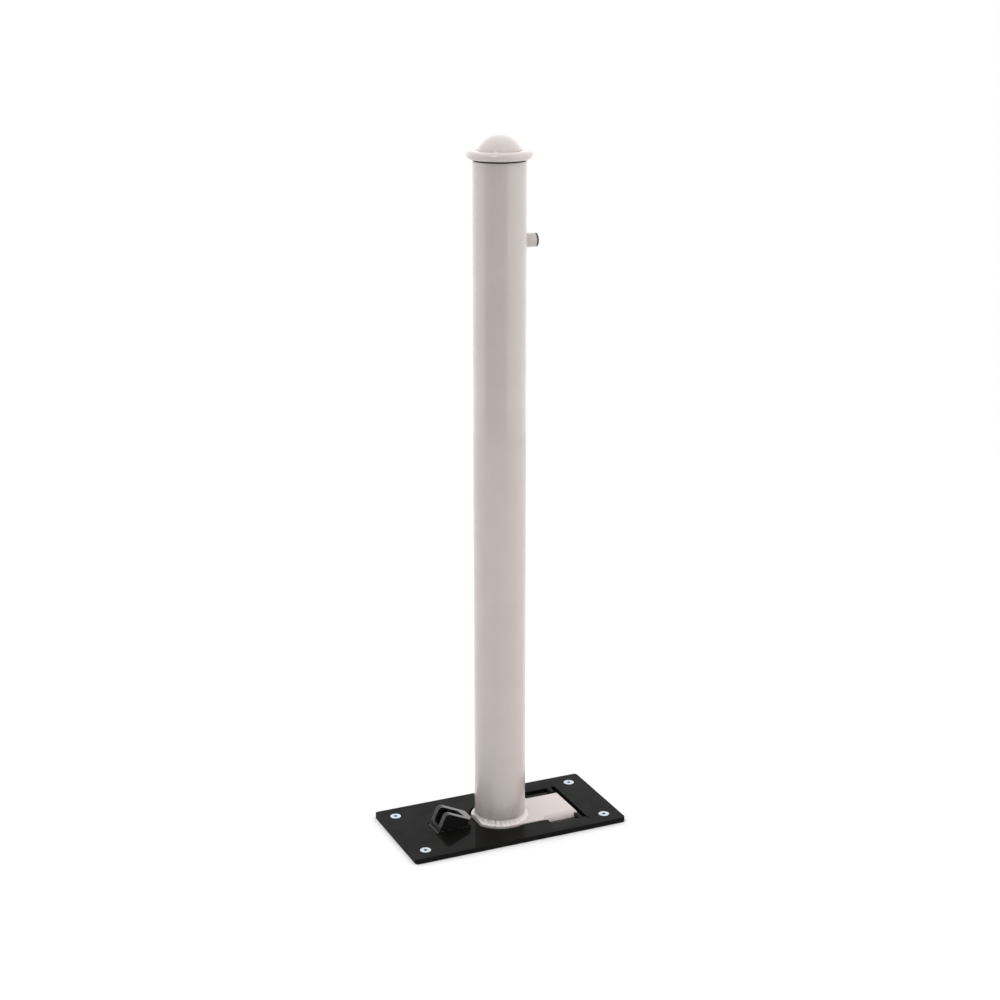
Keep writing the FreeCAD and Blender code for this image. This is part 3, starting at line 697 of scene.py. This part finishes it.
@dataclass
class Foot:
    """The foot plate, its pad and the lumpy weld bead round the post."""

    paints: Paints
    edge_break: float = 0.0009
    steps: int = 540
    section_steps: int = 14
    fillet_power: float = 0.92
    ripple_pitch: float = 0.0034
    ripple_depth: float = 0.00018
    ripple_curl: float = 0.55
    lump_depth: float = 0.0022
    lump_waves: int = 24
    lump_counts: tuple[float, float] = (12.0, 38.0)
    lump_weights: tuple[float, float] = (0.3, 1.0)
    swell_share: float = 0.7
    seed: int = 11
    rough_from: float = math.radians(175.0)
    rough_to: float = math.radians(300.0)
    calm: float = 0.12
    tuck: float = 0.4 * MM

    def build(self) -> None:
        """Dresses the foot's nodes and makes the weld bead."""
        self.paints.node("foot_plate", Slot.FOOT, self.edge_break)
        self.paints.node("foot_pad", Slot.RUBBER)
        self.weld_bead()

    def roughness_at(self, angle: float) -> float:
        """How lumpy the bead is at an angle, most at the front left.

        Args:
            angle: The angle about the post, counted from +X.

        Returns:
            The share of the full lump depth, never less than the calm share.
        """
        middle = (self.rough_from + self.rough_to) / 2.0
        half = (self.rough_to - self.rough_from) / 2.0
        off = abs((angle - middle + math.pi) % FULL_TURN - math.pi) / half
        return self.calm + (1.0 - self.calm) * max(0.0, 1.0 - off ** 3)

    def weld_bead(self) -> None:
        """Makes the bead between the post and the foot plate."""
        low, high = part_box("foot_weld")
        post_low, post_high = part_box("post_tube")
        post_radius = (post_high.x - post_low.x) / 2.0
        reach = (high.y - low.y) / 2.0 - post_radius
        rise = high.z - low.z
        dice = random.Random(self.seed)
        lumps = [
            (
                dice.uniform(0.0, FULL_TURN),
                dice.uniform(*self.lump_counts),
                dice.uniform(*self.lump_weights),
            )
            for _ in range(self.lump_waves)
        ]
        rings = []
        for step in range(self.steps):
            angle = FULL_TURN * step / self.steps
            rings.append(self.bead_section(angle, post_radius, reach, rise, low.z, low.x, lumps))
        bead = new_piece("weld_bead", rings, "post", self.paints, Slot.FOOT)
        # The bead takes the lighter copy of the beige paint, a painted highlight.
        bead.material_slots[0].material = self.paints.weld
        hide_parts("foot_weld")

    def bead_section(
        self,
        angle: float,
        post_radius: float,
        reach: float,
        rise: float,
        floor: float,
        flat: float,
        lumps: list[tuple[float, float, float]],
    ) -> list[Vector]:
        """One closed section of the bead.

        Args:
            angle: The angle about the post, counted from +X.
            post_radius: The post's outer radius.
            reach: How far the bead stands out from the post.
            rise: How far it climbs the post.
            floor: The height of the foot plate's top.
            flat: The X at which the foot's left end is cut off.
            lumps: Phase, count and weight of each wave that makes the bead uneven.

        Returns:
            The section's points, from the foot of the bead up its face and back down the post.
        """
        waves = sum(weight * math.sin(count * angle + phase) for phase, count, weight in lumps)
        uneven = waves / len(lumps) ** 0.5
        rough = self.roughness_at(angle)
        points = []
        for index in range(self.section_steps + 1):
            share = index / self.section_steps
            turn = share * QUARTER_TURN
            curl = math.sin(math.pi * share)
            run = angle * post_radius - curl * self.ripple_pitch * self.ripple_curl
            ripple = abs(math.sin(math.pi * run / self.ripple_pitch)) - 0.5
            bulge = ripple * self.ripple_depth + uneven * self.lump_depth * 0.5
            swell = curl * bulge * rough * self.swell_share
            out = reach * (1.0 - math.sin(turn)) ** self.fillet_power + swell
            up = rise * (1.0 - math.cos(turn)) ** self.fillet_power + swell
            radius = post_radius + max(0.0, min(out, reach))
            x = max(radius * math.cos(angle), flat)
            points.append(Vector((x, radius * math.sin(angle), floor + max(0.0, min(up, rise)))))
        inner = post_radius - self.tuck
        x, y = inner * math.cos(angle), inner * math.sin(angle)
        points.append(Vector((x, y, floor + rise)))
        points.append(Vector((x, y, floor)))
        return points


@dataclass
class Post:
    """The round tube with its rest stub."""

    paints: Paints
    stub_break: float = 0.0006
    weld_steps: int = 160
    weld_section: int = 8
    ripples: float = 14.0
    ripple_share: float = 0.10
    ripple_drop: float = 0.08
    inner_rise: float = 0.8
    tuck: float = 0.3 * MM

    def build(self) -> None:
        """Dresses the tube and the stub and makes the stub's weld."""
        self.paints.node("post_tube", Slot.POST)
        self.paints.node("rest_stub", Slot.POST, self.stub_break)
        self.paints.node("stub_buffer", Slot.RUBBER, self.stub_break)
        self.paints.node("stub_buffer_screw", Slot.ZINC)
        self.stub_bead()

    def stub_bead(self) -> None:
        """Makes the small rippled bead where the stub meets the tube."""
        low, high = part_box("stub_weld")
        stub_low, stub_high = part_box("rest_stub")
        tube_low, tube_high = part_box("post_tube")
        tube = (tube_high.x - tube_low.x) / 2.0
        stub = (stub_high.z - stub_low.z) / 2.0
        size = (high.z - low.z) / 2.0 - stub
        middle = (stub_low.z + stub_high.z) / 2.0
        rings = []
        for step in range(self.weld_steps):
            angle = FULL_TURN * step / self.weld_steps
            rings.append(self.bead_section(angle, tube, stub, size, middle))
        bead = new_piece("stub_bead", rings, "post", self.paints, Slot.POST)
        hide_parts("stub_weld")

    def bead_section(
        self,
        angle: float,
        tube: float,
        stub: float,
        size: float,
        middle: float,
    ) -> list[Vector]:
        """One closed section of the stub's bead.

        Args:
            angle: The angle about the stub, counted from +Y.
            tube: The tube's outer radius.
            stub: The stub's radius.
            size: How far the bead stands out from the stub and from the tube.
            middle: The height of the stub's middle.

        Returns:
            The section's points, from the tube up the bead's face and back down the stub.
        """
        ripple = 1.0 + self.ripple_share * abs(math.sin(angle * self.ripples)) - self.ripple_drop
        section = []
        for index in range(self.weld_section + 1):
            turn = index / self.weld_section * QUARTER_TURN
            away = size * (1.0 - math.sin(turn)) * ripple
            climb = size * (1.0 - math.cos(turn)) * ripple
            radius = stub + min(away, size)
            y, z = radius * math.cos(angle), radius * math.sin(angle)
            section.append(Vector((math.sqrt(tube ** 2 - y ** 2) + min(climb, size), y, middle + z)))
        inner = stub - self.tuck
        y, z = inner * math.cos(angle), inner * math.sin(angle)
        surface = math.sqrt(tube ** 2 - y ** 2)
        section.append(Vector((surface + size * self.inner_rise, y, middle + z)))
        section.append(Vector((surface - self.tuck, y, middle + z)))
        return section


@dataclass
class Cap:
    """The overhanging ring and domed button on top of the post."""

    paints: Paints
    edge_break: float = 0.0005

    def build(self) -> None:
        """Dresses the cap's nodes."""
        self.paints.node("cap_ring", Slot.CAP, self.edge_break)
        self.paints.node("cap_dome", Slot.CAP)
        self.paints.node("cap_gasket", Slot.RUBBER)
        self.paints.node("cap_spigot", Slot.STEEL)
        self.paints.node("cap_washer", Slot.ZINC)
        self.paints.node("cap_bolt", Slot.ZINC)


@dataclass
class Studio:
    """The floor, the light and the camera; angles are in degrees."""

    azimuth: float = -24.13
    elevation: float = 16.62
    distance: float = 2.7497
    aim: Point = (0.0032, -0.0016, 0.5138)
    lens: float = 68.84
    shift: tuple[float, float] = (-0.0022, -0.0056)
    far_clip: float = 50.0
    floor_radius: float = 2.3
    floor_sides: int = 128
    dark_turn: float = 16.0
    dark_half: float = 50.0
    dark_soft: float = 4.0
    bright: float = 1.35
    dark: float = 0.1
    backdrop: float = 1.0
    key_turn: float = 22.0
    key_elevation: float = 42.0
    key_distance: float = 2.6
    key_size: tuple[float, float] = (0.7, 0.35)
    key_power: float = 14.0

    def direction(self, azimuth: float, elevation: float) -> Vector:
        """The direction from the object towards a viewer at these angles.

        Args:
            azimuth: Degrees; 0 looks along +Y.
            elevation: Degrees above level.

        Returns:
            A unit vector.
        """
        turn, lift = math.radians(azimuth), math.radians(elevation)
        level = math.cos(lift)
        return Vector((math.sin(turn) * level, -math.cos(turn) * level, math.sin(lift)))

    def face(self, item: bpy.types.Object, azimuth: float, elevation: float, distance: float) -> None:
        """Puts a light or a camera in the scene, facing the post's middle.

        Args:
            item: The light or camera.
            azimuth: Degrees; 0 is on the -Y side.
            elevation: Degrees above level.
            distance: Metres from the post's middle.
        """
        bpy.context.scene.collection.objects.link(item)
        back = self.direction(azimuth, elevation)
        item.location = Vector(self.aim) + back * distance
        item.rotation_euler = back.to_track_quat("Z", "Y").to_euler()

    def camera(self) -> None:
        """Places the camera."""
        data = bpy.data.cameras.new("camera")
        data.lens = self.lens
        data.shift_x, data.shift_y = self.shift
        data.clip_end = self.far_clip
        camera = bpy.data.objects.new("camera", data)
        self.face(camera, self.azimuth, self.elevation, self.distance)
        bpy.context.scene.camera = camera

    def floor(self) -> None:
        """Lays the round pale floor."""
        mesh = bmesh.new()
        bmesh.ops.create_circle(mesh, cap_ends=True, segments=self.floor_sides, radius=self.floor_radius)
        data = bpy.data.meshes.new("floor")
        mesh.to_mesh(data)
        mesh.free()
        floor = bpy.data.objects.new("floor", data)
        bpy.context.scene.collection.objects.link(floor)
        data.materials.append(FloorPaint().make())

    def key(self) -> None:
        """Hangs the soft rectangular light up to the left of the camera."""
        data = bpy.data.lights.new("key_softbox", "AREA")
        data.shape = "RECTANGLE"
        data.size, data.size_y = self.key_size
        data.energy = self.key_power
        light = bpy.data.objects.new("key_softbox", data)
        self.face(light, self.azimuth - self.key_turn, self.key_elevation, self.key_distance)

    def sky(self) -> None:
        """Sets the even studio light, with a dark side where the maker stands."""
        world = bpy.data.worlds.new("studio")
        bpy.context.scene.world = world
        world.use_nodes = True
        tree = world.node_tree
        tree.nodes.clear()
        level = self.between(tree, self.dark_side(tree), self.bright, self.dark)
        shown = tree.nodes.new("ShaderNodeLightPath").outputs["Is Camera Ray"]
        level = self.between(tree, shown, level, self.backdrop)
        background = tree.nodes.new("ShaderNodeBackground")
        background.inputs["Color"].default_value = (1.0, 1.0, 1.0, 1.0)
        tree.links.new(level, background.inputs["Strength"])
        output = tree.nodes.new("ShaderNodeOutputWorld")
        tree.links.new(background.outputs["Background"], output.inputs["Surface"])

    def dark_side(self, tree: bpy.types.NodeTree) -> bpy.types.NodeSocket:
        """The soft-edged round patch of the sky that is dark.

        Args:
            tree: The world's nodes.

        Returns:
            0 outside the patch and 1 inside it.
        """
        dot = tree.nodes.new("ShaderNodeVectorMath")
        dot.operation = "DOT_PRODUCT"
        tree.links.new(tree.nodes.new("ShaderNodeTexCoord").outputs["Generated"], dot.inputs[0])
        dot.inputs[1].default_value = self.direction(self.azimuth - self.dark_turn, 0.0)
        soft = tree.nodes.new("ShaderNodeMapRange")
        soft.interpolation_type = "SMOOTHSTEP"
        tree.links.new(dot.outputs["Value"], soft.inputs["Value"])
        soft.inputs["From Min"].default_value = math.cos(math.radians(self.dark_half + self.dark_soft))
        soft.inputs["From Max"].default_value = math.cos(math.radians(self.dark_half - self.dark_soft))
        return soft.outputs["Result"]

    def between(
        self,
        tree: bpy.types.NodeTree,
        share: bpy.types.NodeSocket,
        first: object,
        second: object,
    ) -> bpy.types.NodeSocket:
        """A mix of two levels.

        Args:
            tree: The world's nodes.
            share: How much of the second shows.
            first: A number or an output.
            second: A number or an output.

        Returns:
            The mixed level.
        """
        mix = tree.nodes.new("ShaderNodeMix")
        tree.links.new(share, mix.inputs["Factor"])
        for socket, value in ((mix.inputs["A"], first), (mix.inputs["B"], second)):
            if isinstance(value, bpy.types.NodeSocket):
                tree.links.new(value, socket)
            else:
                socket.default_value = value
        return mix.outputs["Result"]

    def build(self) -> None:
        """Builds the whole studio."""
        self.camera()
        self.floor()
        self.sky()
        self.key()
        bpy.context.scene.view_settings.view_transform = "Standard"


def main() -> None:
    """Builds the studio and every sub-assembly in order, and reports them."""
    logging.basicConfig(level=logging.INFO, format="%(name)s: %(message)s")
    Studio().build()
    paints = Paints()
    for assembly in (GroundPlate, Hinge, Hasp, Foot, Post, Cap):
        assembly(paints).build()
        LOG.info("finished %s", assembly.__name__)


if __name__ == "__main__":
    main()
